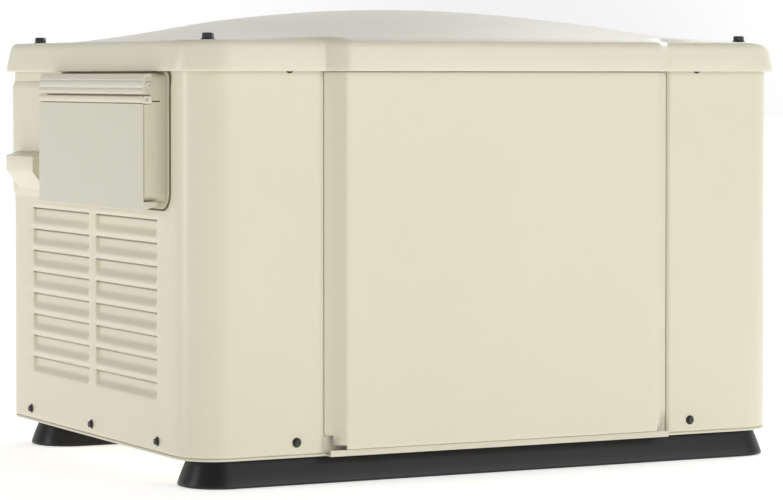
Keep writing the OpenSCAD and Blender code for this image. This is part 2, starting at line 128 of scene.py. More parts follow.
CREAM = hexcol(228, 222, 199)
MATS = {
    # several finishes below pass a lighter edge tint: a painted highlight on their sharp edges
    "cream_paint": surface("powder_cream", CREAM, 0.29, rvar=0.012, var=0.012, grain=1100, bump=0.12, bump_d=0.00025, spec=0.42, big=3, edge_highlight=[c * 1.04 for c in CREAM]),
    # painted light: a lighter copy of the cream paint for the lid, so its top reads brighter as if more light fell on
    # it
    "lid_paint": surface("powder_cream_lid_painted_light", hexcol(234, 229, 206), 0.31, rvar=0.012, var=0.012, grain=1100, bump=0.12, bump_d=0.00025, spec=0.42, big=3, edge_highlight=[c * 1.04 for c in CREAM]),
    "pan_paint": surface("powder_cream_pan", hexcol(222, 216, 196), 0.45, var=0.015, grain=1100, bump=0.12, bump_d=0.00025, spec=0.4, big=4, edge_highlight=CREAM),
    "black_plastic": surface("black_moulded", [0.02, 0.02, 0.021], 0.5, var=0.15, grain=1500, bump=0.2, bump_d=0.0003, big=10),
    "skid_plastic": surface("skid_moulded", [0.009, 0.009, 0.010], 0.36, spec=0.36, rvar=0.02, var=0.15, grain=1300, bump=0.25, bump_d=0.0004, big=8, edge_highlight=[0.04, 0.04, 0.042]),
    "black_steel": surface("black_coated_steel", [0.018, 0.018, 0.019], 0.35, metal=0.0, var=0.12, grain=1200, bump=0.1, bump_d=0.0002, big=20, edge_highlight=[0.07, 0.07, 0.07]),
    "bezel_plastic": surface("bezel_moulded", hexcol(216, 209, 184), 0.48, var=0.015, grain=1700, bump=0.2, bump_d=0.0003, big=5, spec=0.4),
    "flap_plastic": surface("flap_moulded", hexcol(214, 211, 193), 0.30, var=0.006, grain=2600, bump=0.03, bump_d=0.0001, big=5, spec=0.5, rvar=0.012),
    "rubber": surface("rubber_black", [0.016, 0.016, 0.016], 0.75, var=0.2, grain=900, bump=0.3, bump_d=0.0004, big=14),
    "gasket_foam": surface("gasket_foam", hexcol(112, 107, 88), 0.8, var=0.08, grain=1400, bump=0.4, bump_d=0.0004, big=20),
    "galv": surface("zinc_sheet", [0.50, 0.51, 0.53], 0.40, metal=0.9, var=0.12, grain=140, bump=0.06, bump_d=0.0003, big=40),
    "cast_al": surface("cast_aluminium", [0.52, 0.53, 0.55], 0.48, metal=0.85, var=0.08, grain=700, bump=0.5, bump_d=0.0006, big=12, edge_highlight=[0.75, 0.76, 0.78]),
    "steel": surface("turned_steel", [0.46, 0.46, 0.48], 0.28, metal=1.0, var=0.06, grain=500, bump=0.15, bump_d=0.0002, big=18, stretch=(8, 1, 1)),
    "iron": surface("cast_iron", [0.12, 0.12, 0.125], 0.6, metal=0.5, var=0.15, grain=600, bump=0.5, bump_d=0.0008, big=14),
    "copper": surface("varnished_copper", [0.42, 0.16, 0.06], 0.38, metal=0.7, var=0.2, grain=300, bump=0.5, bump_d=0.0008, big=20, stretch=(6, 1, 1)),
    "red_key": surface("key_red", [0.5, 0.03, 0.02], 0.35, var=0.06, grain=1500, bump=0.1, bump_d=0.0002, big=40),
    "yellow_key": surface("key_yellow", [0.7, 0.42, 0.03], 0.35, var=0.06, grain=1500, bump=0.1, bump_d=0.0002, big=40),
    "green_key": surface("key_green", [0.04, 0.30, 0.07], 0.35, var=0.06, grain=1500, bump=0.1, bump_d=0.0002, big=40),
    "display": surface("display_glass", [0.16, 0.22, 0.13], 0.12, var=0.05, grain=300, bump=0.02, bump_d=0.0001, big=30, coat=0.6),
    "paper": surface("filter_paper", [0.72, 0.66, 0.5], 0.9, var=0.08, grain=1200, bump=0.5, bump_d=0.0005, big=20),
    "brass": surface("turned_brass", [0.72, 0.5, 0.18], 0.3, metal=1.0, var=0.06, grain=500, bump=0.15, bump_d=0.0002, big=20),
    "oil_yellow": surface("moulded_yellow", [0.72, 0.50, 0.02], 0.38, var=0.05, grain=1200, bump=0.15, bump_d=0.0003, big=20),
    "hot_steel": surface("aluminised_steel", [0.40, 0.37, 0.34], 0.5, metal=0.85, var=0.25, grain=400, bump=0.3, bump_d=0.0005, big=9),
}
slot_of = {sp["node"]: sp["material_slot"] for sp in frame["record"]["subparts"]}

# ------------------------------------------------------------------ mesh helpers (millimetres in, metres out)
def make(name, verts, faces, slot, body="chassis", replaces=(), auto=38, mat=None):
    me = bpy.data.meshes.new(name)
    me.from_pydata([tuple(c * S for c in v) for v in verts], [], faces)
    bm = bmesh.new(); bm.from_mesh(me)
    bmesh.ops.remove_doubles(bm, verts=bm.verts, dist=1e-6)
    bmesh.ops.dissolve_degenerate(bm, edges=bm.edges, dist=1e-7)
    bm.to_mesh(me); bm.free()
    o = bpy.data.objects.new(name, me)
    scene.collection.objects.link(o)
    me.materials.append(mat or MATS[slot])
    me.shade_smooth()
    me.set_sharp_from_angle(angle=math.radians(auto))
    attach(o, body)
    if replaces:
        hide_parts(*replaces)
    return o

def recalc(o):
    bm = bmesh.new(); bm.from_mesh(o.data)
    bmesh.ops.recalc_face_normals(bm, faces=bm.faces)
    bm.to_mesh(o.data); bm.free()

def bevel(o, w, seg=3, ang=35):
    m = o.modifiers.new("bevel", "BEVEL")
    m.width = w * S; m.segments = seg; m.limit_method = "ANGLE"; m.angle_limit = math.radians(ang)
    m.harden_normals = False; m.use_clamp_overlap = True
    return m

class Soup:
    """Several closed solids in one mesh."""
    def __init__(s): s.v, s.f = [], []
    def add(s, v, f):
        k = len(s.v); s.v += [tuple(p) for p in v]; s.f += [tuple(i + k for i in q) for q in f]; return s
    def prism(s, pts, a, b, place):
        """Outline pts drawn from a to b; place(u, v, w) puts it in space."""
        n = len(pts)
        v = [place(p[0], p[1], a) for p in pts] + [place(p[0], p[1], b) for p in pts]
        f = [tuple(range(n - 1, -1, -1)), tuple(range(n, 2 * n))] + [(i, (i + 1) % n, n + (i + 1) % n, n + i) for i in range(n)]
        return s.add(v, f)
    def lathe(s, prof, place, n=32):
        """prof: (radius, height) from the axis out and back to it."""
        v, f = [], []
        m = len(prof)
        for i in range(n):
            a = 2 * pi * i / n
            for r, h in prof: v.append(place(r * math.cos(a), r * math.sin(a), h))
        for i in range(n):
            j = (i + 1) % n
            for k in range(m - 1): f.append((i * m + k, j * m + k, j * m + k + 1, i * m + k + 1))
        return s.add(v, f)

def rrect(w, d, r, n=8):
    """Rounded rectangle, anticlockwise, centred."""
    out = []
    for cx, cy, a0 in ((w / 2 - r, d / 2 - r, 0), (-w / 2 + r, d / 2 - r, 90), (-w / 2 + r, -d / 2 + r, 180), (w / 2 - r, -d / 2 + r, 270)):
        for i in range(n + 1):
            a = math.radians(a0 + 90 * i / n)
            out.append((cx + r * math.cos(a), cy + r * math.sin(a)))
    return out

HX, HY, R = 435.0, 334.0, 56.0
BUL = 18.0
XY = lambda u, v, w: (u, v, w)

# ------------------------------------------------------------------ lid
def outline_samples():
    """(x, y, nx, ny) of the body's outline with its proud front, anticlockwise from the front left, with the miter normal."""
    pts = []
    n = 14
    def arc(cx, cy, a0):
        for i in range(n + 1):
            a = math.radians(a0 + 90 * i / n)
            pts.append((cx + R * math.cos(a), cy + R * math.sin(a)))
    def line(p, q, k):
        for i in range(1, k): pts.append((p[0] + (q[0] - p[0]) * i / k, p[1] + (q[1] - p[1]) * i / k))
    arc(-HX + R, -HY + R, 180)
    line((-HX + R, -HY), (-254.5, -HY), 8)
    for s in (1,):
        pts.extend([(-254.5, -HY), (-251, -HY - .9), (-248.5, -HY - 2.6), (-232.0, -HY - BUL + 2.4), (-229.3, -HY - BUL + .7), (-226, -HY - BUL)])
    line((-226, -HY - BUL), (226, -HY - BUL), 26)
    pts.extend([(226, -HY - BUL), (229.3, -HY - BUL + .7), (232.0, -HY - BUL + 2.4), (248.5, -HY - 2.6), (251, -HY - .9), (254.5, -HY)])
    line((254.5, -HY), (HX - R, -HY), 8)
    arc(HX - R, -HY + R, 270)
    line((HX, -HY + R), (HX, HY - R), 26)
    arc(HX - R, HY - R, 0)
    line((HX - R, HY), (-HX + R, HY), 42)
    arc(-HX + R, HY - R, 90)
    line((-HX, HY - R), (-HX, -HY + R), 26)
    out = []
    m = len(pts)
    for i in range(m):
        a, b, c = pts[i - 1], pts[i], pts[(i + 1) % m]
        d1 = Vector((b[0] - a[0], b[1] - a[1])).normalized(); d2 = Vector((c[0] - b[0], c[1] - b[1])).normalized()
        n1 = Vector((d1.y, -d1.x)); n2 = Vector((d2.y, -d2.x))
        nn = (n1 + n2).normalized()
        k = 1 / max(0.6, nn.dot(n1))
        out.append((b[0], b[1], nn.x * k, nn.y * k))
    return out

ZSK, ZPL = 520.5, 560.0
def smooth(t): t = max(0.0, min(1.0, t)); return t * t * (3 - 2 * t)
def crown_z(x, y):
    ax = abs(x)
    if ax < 235: a = 45.9 - 15.9 * (ax / 235) ** 2
    else: a = 30 * (1 - (ax - 235) / 148.0)
    # the crease and the foot are rolled, not sharp
    w = 16.0
    if abs(ax - 235) < w:
        t = (ax - 235 + w) / (2 * w)
        z0 = 45.9 - 15.9 * ((235 - w) / 235) ** 2; z1 = 30 * (1 - w / 148.0)
        s0 = -15.9 * 2 * (235 - w) / 235 ** 2 * 2 * w; s1 = -30 / 148.0 * 2 * w
        a = z0 * (2 * t ** 3 - 3 * t ** 2 + 1) + s0 * (t ** 3 - 2 * t ** 2 + t) + z1 * (-2 * t ** 3 + 3 * t ** 2) + s1 * (t ** 3 - t ** 2)
    if abs(ax - 383) < 12:
        t = (395 - ax) / 24.0
        a = 30 / 148.0 * 12 * t * t
    if ax >= 395: a = 0
    f = 1 - (y / 352.0) ** 2
    return ZPL + max(0.0, a) * max(0.0, f)

def build_lid():
    ol = outline_samples()
    m = len(ol)
    v, f = [], []
    def ringpts(off, z):
        k = len(v)
        for x, y, nx, ny in ol: v.append((x + nx * off, y + ny * off, z))
        return k
    def join(a, b):
        for i in range(m):
            j = (i + 1) % m
            f.append((a + i, a + j, b + j, b + i))
    prof = [(1.6, 557.2), (3.2, 553), (8.6, 526), (9.0, 521.0), (9.6, 520.55), (10.9, 520.5), (11.4, 521.0), (11.5, 522.0), (11.2, 526), (9.2, 536), (7.4, 544.5), (6.5, 548.6), (5.7, 551.9), (4.3, 555.1), (2.3, 557.7), (-0.3, 559.3), (-3.0, 559.9), (-5.6, 560.0)]
    ids = [ringpts(o, z) for o, z in prof]
    for a, b in zip(ids, ids[1:]): join(a, b)
    # crowned top: scaled rings towards the middle, on the crown's height
    last = ids[-1]
    base = [(x - nx * 5.6, y - ny * 5.6) for x, y, nx, ny in ol]
    def toprow(t):
        k = len(v)
        for x, y in base: v.append((x * t, y * t, crown_z(x * t, y * t)))
        return k
    steps = [0.985, 0.97, 0.955, 0.94, 0.925, 0.91, 0.895, 0.88, 0.86, 0.84, 0.81, 0.78, 0.74, 0.70, 0.66, 0.62, 0.60, 0.58, 0.56, 0.54, 0.52, 0.50, 0.46, 0.42, 0.36, 0.30, 0.24, 0.18, 0.12, 0.06]
    prev = last
    for t in steps:
        k = toprow(t); join(prev, k); prev = k
    c = len(v); v.append((0, 0, crown_z(0, 0)))
    for i in range(m): f.append((prev + i, prev + (i + 1) % m, c))
    # underside
    prev = ids[0]
    for t in [0.97, 0.94, 0.91, 0.88, 0.80, 0.70, 0.60, 0.5, 0.4, 0.2]:
        k = len(v)
        for x, y in base: v.append((x * t, y * t, crown_z(x * t, y * t) - 2.6))
        for i in range(m):
            j = (i + 1) % m
            f.append((prev + j, prev + i, k + i, k + j))
        prev = k
    c = len(v); v.append((0, 0, crown_z(0, 0) - 2.6))
    for i in range(m): f.append((prev + (i + 1) % m, prev + i, c))
    # the lid takes the lighter copy of the cream paint (painted light)
    return make("lid_shell", v, f, "cream_paint", "lid", ["lid"], auto=50, mat=MATS["lid_paint"])
lid = build_lid()

# ------------------------------------------------------------------ sheet panels as fine grids over (path, height)
def path_side(sgn):
    """Plan path of a wrap-round side panel from its front edge round the front corner, as (x, y, nx, ny, tag);
    build_side adds the flat side, where tag = y, and the rear.
    """
    p = []
    for x in (254, 262, 280, 291.5, 300, 320, 345, HX - R): p.append((x, -HY, 0, -1, None))
    for i in range(1, 16):
        a = math.radians(-90 + 90 * i / 16); p.append((HX - R + R * math.cos(a), -HY + R + R * math.sin(a), math.cos(a), math.sin(a), None))
    return p

def linspace(a, b, n): return [a + (b - a) * i / (n - 1) for i in range(n)]

COLS = [(-225.0, -15.0), (7.0, 218.0)]
ZT = [332.5 - 29.5 * i for i in range(8)]
DEEP = 5.0
def build_side(sgn, name, node, louvres):
    ys = set(linspace(-HY + R, HY - R, 24))
    if louvres:
        ys = set([-HY + R, HY - R, -257.2, 104.6, 165, 245, -270, 292 - 20])
        for a, b in COLS: ys |= {a, a + .6, a + 1.4, a + 2.6, a + 4.2, a + 6.4, a + 9, b, b - .6, b - 1.3, b - 2.0, b - 2.7, b - 3.4, b - 4.1, b - 7} | set(linspace(a + 20, b - 20, 7))
        ys = {y for y in ys if -HY + R <= y <= HY - R}
    else:
        ys |= {-130, 130, -185, -35, 35, 185}
    P = path_side(1)
    P += [(HX, y, 1, 0, y) for y in sorted(ys)]
    for i in range(1, 16):
        a = math.radians(90 * i / 16); P.append((HX - R + R * math.cos(a), HY - R + R * math.sin(a), math.cos(a), math.sin(a), None))
    for x in (HX - R, 345, 320, 300, 291.5, 280, 262, 254): P.append((x, HY, 0, 1, None))
    rows = [(38.4, 0), (39.6, 0), (42, 0), (46, 0), (52, 0), (58, 0), (61, 0)]
    if louvres:
        rows += [(z, 0) for z in (80, 98)]
        for zt in reversed(ZT):
            for dz in (-22.5, -21.5, -20, -18, -16, -14, -12, -10, -7, -4, -1.1): rows.append((zt + dz, 0))
            rows.append((zt, -1)); rows.append((zt, 1))
        rows += [(z, 0) for z in (338, 345, 356.8, 370, 385, 400, 440, 480, 517.9, 522)]
    else:
        for i in range(8): rows += [(90 + 14 * i, 0), (95 + 14 * i, 0)]
        rows += [(z, 0) for z in (215, 250, 290, 330, 370, 410, 450, 490, 522)]
    rows += [(535, 0), (547.6, 0), (549, 0)]
    rows.sort(key=lambda r: (r[0], r[1]))
    def depth(y, z, side):
        if y is None or not louvres: return 0
        for a, b in COLS:
            if a <= y <= b:
                e = min(smooth((y - a) / 9.0), smooth((b - y) / 4.0))
                for zt in ZT:
                    if zt - 22.5 <= z <= zt:
                        if z == zt and side > 0: return -0.5 * e
                        t = (z - (zt - 22.5)) / 22.5
                        return DEEP * e * (0.93 * smooth(min(1, t / 0.46)) + 0.07 * t)
                for zt in ZT:
                    if zt < z < zt + 3: return -0.5 * e
        return 0
    v, idx = [], {}
    for ri, (z, side) in enumerate(rows):
        roll = 0.0
        if z < 39: roll = 0.9
        elif z < 40: roll = 0.25
        for ci, (x, y, nx, ny, tag) in enumerate(P):
            d = depth(tag, z, side) + roll
            idx[ri, ci] = len(v)
            v.append((sgn * (x - nx * d), y - ny * d, z))
    f = []
    for ri in range(len(rows) - 1):
        z0, s0 = rows[ri]; z1, s1 = rows[ri + 1]
        for ci in range(len(P) - 1):
            if z0 == z1: continue
            y0, y1 = P[ci][4], P[ci + 1][4]
            zc = (z0 + z1) / 2
            if y0 is not None and y1 is not None:
                yc = (y0 + y1) / 2
                if louvres and -257.2 < yc < 104.6 and 356.8 < zc < 517.9: continue
                if louvres and 165 < yc < 245 and 370 < zc < 400: continue
                if louvres and any(zt - 1.1 < zc < zt for zt in ZT) and any(a + 3 < yc < b - 1.2 for a, b in COLS): continue
                if not louvres and abs(yc) < 130 and 250 < zc < 410: continue
                if not louvres and 35 < abs(yc) < 185 and any(90 + 14 * i < zc < 95 + 14 * i for i in range(8)): continue
            q = (idx[ri, ci], idx[ri, ci + 1], idx[ri + 1, ci + 1], idx[ri + 1, ci])
            f.append(q if sgn > 0 else q[::-1])
    o = make(name, v, f, "cream_paint", "chassis", [node], auto=32)
    s = o.modifiers.new("sheet", "SOLIDIFY"); s.thickness = 1.5 * S; s.offset = -1
    return o
left = build_side(-1, "left_panel_shell", "left_side_panel", True)
right = build_side(1, "right_panel_shell", "right_side_panel", False)

def build_front():
    B = HY + BUL
    prof = [(-253.0, -HY + 1.7), (-253.0, -HY + .2), (-252.2, -HY - .55), (-250.0, -HY - 1.5), (-243.5, -HY - 6.6), (-232.2, -B + 2.5), (-230.8, -B + 1.2), (-229.5, -B + .45), (-227.5, -B)]
    xs = [-222, -200, -150, -100, -50, 0]
    half = prof + [(x, -B) for x in xs]
    P = half + [(-x, y) for x, y in reversed(half[:-1])]
    rows = [43.2, 43.8, 45, 48.5, 54, 60.5, 75, 110, 160, 210, 260, 310, 360, 410, 460, 500, 512, 518.5, 520.0]
    v, f = [], []
    n = len(P)
    for z in rows:
        roll = 0.9 if z < 43.5 else (0.3 if z < 44 else 0)
        for x, y in P: v.append((x, y + (roll if abs(x) < 230 else 0), z))
    for r in range(len(rows) - 1):
        zc = (rows[r] + rows[r + 1]) / 2
        for c in range(n - 1):
            xc = abs(P[c][0] + P[c + 1][0]) / 2
            if zc < 60.5 and xc > 244: continue
            if zc < 48.5 and xc > 229.5: continue
            f.append((r * n + c, r * n + c + 1, (r + 1) * n + c + 1, (r + 1) * n + c))
    o = make("front_panel_shell", v, f, "cream_paint", "front_panel", ["front_panel"], auto=50)
    s = o.modifiers.new("sheet", "SOLIDIFY"); s.thickness = 1.8 * S; s.offset = -1
    return o
front = build_front()

# ------------------------------------------------------------------ skids
def build_skid(name, node, yc):
    prof = [(0, 1.6), (0.25, 0.6), (1.2, 0.0)]
    v, f = [], []
    rings = []
    def ring(ins, z):
        k = len(v)
        for x, y in rrect(856 - 2 * ins, 105 - 2 * ins, 50 - ins * .95, 16): v.append((x, y + yc, z))
        rings.append(k)
    n = len(rrect(856, 105, 50, 16))
    ring(9, 0.0); ring(2.0, 0.0); ring(0.6, 0.5); ring(0.05, 1.8); ring(0.6, 4.5); ring(2.6, 10.5); ring(5.4, 18); ring(8.6, 26); ring(11.0, 32); ring(11.6, 33.6); ring(12.8, 34.35); ring(15, 34.4)
    for a, b in zip(rings, rings[1:]):
        for i in range(n):
            j = (i + 1) % n
            f.append((a + i, a + j, b + j, b + i))
    f.append(tuple(range(rings[0] + n - 1, rings[0] - 1, -1))); f.append(tuple(range(rings[-1], rings[-1] + n)))
    o = make(name, v, f, "skid_plastic", "chassis", [node], auto=60)
    recalc(o)
    return o
build_skid("front_skid_shell", "front_skid", -283.5)
build_skid("rear_skid_shell", "rear_skid", 233.5)

# ------------------------------------------------------------------ control box on the left end
def yz_outline(y0, y1, z0, z1, rb, rt, extra=(), n=8):
    """(y, z, ny, nz, k) round a rounded rectangle: k says how far the flange reaches there."""
    KF, KT, KR, KB = 1.0, 0.14, 0.14, 1.0
    out = []
    def arc(cy, cz, a0, k0, k1, r):
        for i in range(n + 1):
            t = i / n; a = math.radians(a0 + 90 * t)
            out.append((cy + r * math.cos(a), cz + r * math.sin(a), math.cos(a), math.sin(a), k0 + (k1 - k0) * smooth(t)))
    arc(y1 - rt, z1 - rt, 0, KR, KT, rt)
    for i in range(1, 12): out.append((y1 - rt + (y0 - y1 + 2 * rt) * i / 12, z1, 0, 1, KT))
    arc(y0 + rt, z1 - rt, 90, KT, KF, rt)
    for z in sorted(extra, reverse=True): out.append((y0, z, -1, 0, KF))
    arc(y0 + rb, z0 + rb, 180, KF, KB, rb)
    for i in range(1, 12): out.append((y0 + rb + (y1 - y0 - 2 * rb) * i / 12, z0, 0, -1, KB))
    arc(y1 - rb, z0 + rb, 270, KB, KR, rb)
    for z in sorted(extra): out.append((y1, z, 1, 0, KR))
    return out

def sweep(name, ol, prof, slot, body="chassis", replaces=(), mat=None, caps=True, auto=35):
    v, f = [], []
    m, q = len(ol), len(prof)
    for y, z, ny, nz, k in ol:
        for p in prof:
            off, x = p(y, z) if callable(p) else p
            o_ = off * k if off > 0 else off
            v.append((x, y + ny * o_, z + nz * o_))
    for i in range(m):
        j = (i + 1) % m
        for a in range(q - 1): f.append((i * q + a, j * q + a, j * q + a + 1, i * q + a + 1))
        if not caps: f.append((i * q + q - 1, j * q + q - 1, j * q, i * q))
    if caps:
        f.append(tuple(i * q for i in range(m))); f.append(tuple(i * q + q - 1 for i in range(m - 1, -1, -1)))
    o = make(name, v, f, slot, body, replaces, auto, mat); recalc(o)
    return o

NOTCH = (400, 440, 470, 478.8, 479.0, 490.8, 491.0, 500)
OL = yz_outline(-256.5, 104, 357.5, 517.5, 12, 6, NOTCH)
def rim(off, dx):
    return lambda y, z: (off, (-457.8 if 478.9 < z < 490.9 else -465.8) + dx)
tube = [(-1, -393), (0, -394), (0, -435.1), (10.0, -435.1), (10.6, -435.5), (10.6, -436.4), (10.0, -436.9), (3.4, -437.1), (2.6, -436.9), (2.2, -436.2), (1.4, -436.1), (0.9, -436.5), (0.0, -438.0),
        rim(0.0, 1.6), rim(-0.15, 0.7), rim(-0.7, 0.15), rim(-1.3, 0), rim(-2.8, 0), rim(-3.5, 0.25), rim(-3.9, 1.0), (-4, -399.5), (-4.4, -398.2), (-5.6, -397.6)]
sweep("housing_tray", OL, tube, "bezel_plastic", "chassis", ["control_housing"])
# gasket bead that shows round the flange, widest at the upper front corner, where the extra dark foam is painted shade
# for the shadowed opening behind the flange
def shaded_corner_bead(off, x):
    return lambda y, z: (off + (2.6 if z > 503 and y < -245 else 0), x)
sweep("gasket_bead", OL, [(8.5, -435.1), (10.7, -436.3), shaded_corner_bead(11.4, -436.7), shaded_corner_bead(12.6, -436.6), shaded_corner_bead(13.2, -435.9), (13.3, -435.1)], "rubber", "chassis", ["housing_gasket"], mat=MATS["gasket_foam"], caps=False)

def bar(name, pts, y0, y1, slot, body, replaces=(), w=0.8, mat=None, seg=3, ang=30, auto=40):
    """Outline (x, z) drawn along Y with rolled edges."""
    s_ = Soup(); s_.prism(pts, y0, y1, lambda x, z, y: (x, y, z))
    o = make(name, s_.v, s_.f, slot, body, replaces, auto, mat); recalc(o)
    if w: bevel(o, w, seg, ang)
    return o

def squircle(cx, cz, rx, rz, e=3.0, n=40):
    out = []
    for i in range(n):
        a = 2 * pi * i / n; c, d = math.cos(a), math.sin(a)
        out.append((cx + rx * abs(c) ** (2 / e) * (1 if c >= 0 else -1), cz + rz * abs(d) ** (2 / e) * (1 if d >= 0 else -1)))
    return out

bar("housing_lintel", [(-464.6, 476), (-464.6, 478.9), (-457.8, 479.0), (-457.8, 490.9), (-463, 491), (-463, 513.6), (-397, 513.6), (-397, 476)], -253.2, 100.7, "bezel_plastic", "chassis", w=0.5)
bar("housing_hood", [(-455, 491.1), (-462.5, 490.9), (-466.0, 491.2), (-467.2, 492.0), (-467.9, 492.7), (-468.2, 493.4), (-468.2, 497.7), (-467.9, 498.4), (-467.3, 498.8), (-467.3, 499.5), (-467.9, 499.9), (-468.2, 500.6), (-468.2, 507.3), (-467.8, 508.2), (-467.1, 508.7), (-467.0, 509.4), (-467.5, 510.0), (-466.3, 515.2), (-465.1, 516.8), (-463.2, 517.5), (-455, 517.6)], -256.3, 103.8, "flap_plastic", "chassis", w=0.9, ang=50, auto=60)
s = Soup()
for y0, y1 in ((-260.6, -256.7), (104.2, 108.1)):
    s.prism(squircle(-462.4, 484.5, 5.9, 4.9, 4), y0, y1, lambda x, z, y: (x, y, z))
o = make("hinge_ears", s.v, s.f, "flap_plastic", mat=MATS["cream_paint"]); recalc(o); bevel(o, 0.9, 3, 40)
s = Soup()
for sg, y in ((-1, -256.5), (1, 104.0)):
    s.lathe([(0, 0), (4.6, 0), (4.6, 0.5), (4.1, 1.9), (3.6, 2.3), (2.0, 2.3), (1.6, 2.0), (1.3, 0.7), (0, 0.6)], lambda a, b, h, sg=sg, y=y: (-459.5 + a, y + sg * h, 503.2 + b), 32)
o = make("hood_pivots", s.v, s.f, "flap_plastic"); recalc(o)
# painted shade: thin black sheets on the housing's front and rear ends stand in for the shadowed notch beside the hinge
s = Soup()
for sg, y in ((-1, -256.5), (1, 104.0)):
    s.prism(rrect(11, 1.5, 0.7, 4), 0, 0.12, lambda a, b, h, sg=sg, y=y: (-449.5 + a, y + sg * h, 482.7 + b))
make("housing_slot_shade", s.v, s.f, "rubber")
s = Soup()
s.lathe([(0, -259.9), (1.9, -259.9), (2.4, -259.4), (2.4, 106.9), (1.9, 107.4), (0, 107.4)], lambda a, b, h: (-463.5 + a, h, 484.5 + b), 28)
for y, g in ((-260.6, -1), (108.1, 1)):
    s.lathe([(0, 0.8), (1.2, 0.8), (2.0, 0.4), (2.2, 0), (0, 0)], lambda a, b, h, y=y, g=g: (-463.5 + a, y + g * h, 484.5 + b), 28)
o = make("hinge_pin_headed", s.v, s.f, "steel", "chassis", ["flap_hinge_pin"]); recalc(o)

# flap: flat door with a rolled edge, a hinge barrel and a deep lip along its foot
s = Soup()
s.prism([(-469, 346.4), (-469, 479.6), (-466.2, 479.6), (-466.2, 357.0), (-464.6, 356.6), (-447.6, 356.2), (-447.2, 355.6), (-448.6, 352.0), (-465.0, 345.8), (-468.2, 345.6)], -256, 103.5, lambda x, z, y: (x, y, z))
o = make("flap_door", s.v, s.f, "flap_plastic", "control_flap", ["control_flap"], 40); recalc(o); bevel(o, 1.15, 4, 30)
bar("flap_barrel", squircle(-463.5, 484.5, 4.95, 4.9, 3.2), -256.3, 103.8, "flap_plastic", "control_flap", w=0.8, ang=60, auto=50, mat=MATS["cream_paint"])

# raised skin behind the box, round the rear corner
P = [(-HX, y, -1, 0) for y in linspace(104.2, HY - R, 9)]
for i in range(1, 12):
    a = math.radians(180 - 90 * i / 12); P.append((-HX + R + R * math.cos(a), HY - R + R * math.sin(a), math.cos(a), math.sin(a)))
P += [(x, HY, 0, 1) for x in linspace(-HX + R, -386.0, 2)] if -386.0 > -HX + R else []
prof = [(0.35, 347.6), (0.9, 347.8), (1.6, 349.4), (2.7, 354.6), (3.0, 356.2), (3.05, 360), (3.05, 497.5), (2.95, 499.4), (2.5, 501.2), (0.9, 506.6), (0.35, 507.2), (-0.4, 507.2), (-0.4, 347.6)]
v, f = [], []
q = len(prof)
for ci, (x, y, nx, ny) in enumerate(P):
    for off, z in prof: v.append((x + nx * off, y + ny * off, z))
for i in range(len(P) - 1):
    for a in range(q): f.append((i * q + a, (i + 1) * q + a, (i + 1) * q + (a + 1) % q, i * q + (a + 1) % q))
f.append(tuple(range(q))); f.append(tuple(range((len(P) - 1) * q + q - 1, (len(P) - 1) * q - 1, -1)))
o = make("rear_skin", v, f, "cream_paint", auto=30); recalc(o)

# conduit hood: folded cap with softened folds
s = Soup()
s.prism([(-438.1, 358), (-438.1, 410), (-442, 410), (-459.2, 404.6), (-460, 403.6), (-460, 384), (-459.4, 382.4), (-440.6, 358.4), (-439.6, 358)], 153.2, 256.8, lambda x, z, y: (x, y, z))
o = make("conduit_cap", s.v, s.f, "cream_paint", "chassis", ["conduit_hood"], 40); recalc(o); bevel(o, 1.6, 4, 25)

# ------------------------------------------------------------------ screws and bolts
def fastener(s, origin, axis, rf, rh, hh, hf):
    """Hex head with a dished flange; axis points out."""
    a = Vector(axis).normalized(); o = Vector(origin)
    u = a.orthogonal().normalized(); w = a.cross(u)
    place = lambda x, y, h: tuple(o + u * x + w * y + a * h)
    s.lathe([(0, 0.06), (rf - .3, 0.06), (rf, 0.4), (rf - .15, hf * .55), (rf * .82, hf), (rh * 1.02, hf * 1.45), (rh * .5, hf * 1.5), (0, hf * 1.5)], place, 36)
    v, f = [], []
    lv = [(1.0, hf * .9), (1.0, hh * .84), (0.90, hh * .97), (0.80, hh), (0.60, hh - .15), (0.0, hh - .35)]
    for k, h in lv:
        for i in range(6):
            g = pi / 3 * i
            v.append(place(rh * k * math.cos(g), rh * k * math.sin(g), h))
    for k in range(len(lv) - 1):
        for i in range(6):
            j = (i + 1) % 6
            f.append((k * 6 + i, k * 6 + j, (k + 1) * 6 + j, (k + 1) * 6 + i))
    f.append((5, 4, 3, 2, 1, 0))
    s.add(v, f)
    s.lathe([(0, -8.8), (1.7, -8.6), (2.35, -7.6), (2.35, 0.3), (0, 0.3)], place, 16)

s = Soup()
for x in (-1, 1):
    fastener(s, (x * 291.5, -HY, 53.5), (0, -1, 0), 6.2, 4.4, 4.5, 1.3); fastener(s, (x * 291.5, HY, 53.5), (0, 1, 0), 6.2, 4.4, 4.5, 1.3)
for y in (-225, 0, 225):
    fastener(s, (-HX, y, 51.5), (-1, 0, 0), 6.2, 4.4, 4.5, 1.3); fastener(s, (HX, y, 51.5), (1, 0, 0), 6.2, 4.4, 4.5, 1.3)
o = make("screw_heads_lower", s.v, s.f, "black_steel", "chassis", ["panel_screws_lower"], auto=30); recalc(o)
s = Soup()
for x in (-1, 1):
    fastener(s, (x * 301, -HY, 524), (0, -1, 0), 6.2, 4.4, 4.5, 1.3); fastener(s, (x * 301, HY, 524), (0, 1, 0), 6.2, 4.4, 4.5, 1.3)
for y, z in ((-218, 524), (218, 528)):
    fastener(s, (-HX, y, z), (-1, 0, 0), 6.2, 4.4, 4.5, 1.3); fastener(s, (HX, y, z), (1, 0, 0), 6.2, 4.4, 4.5, 1.3)
o = make("screw_heads_upper", s.v, s.f, "black_steel", "chassis", ["panel_screws_upper"], auto=30); recalc(o)
s = Soup()
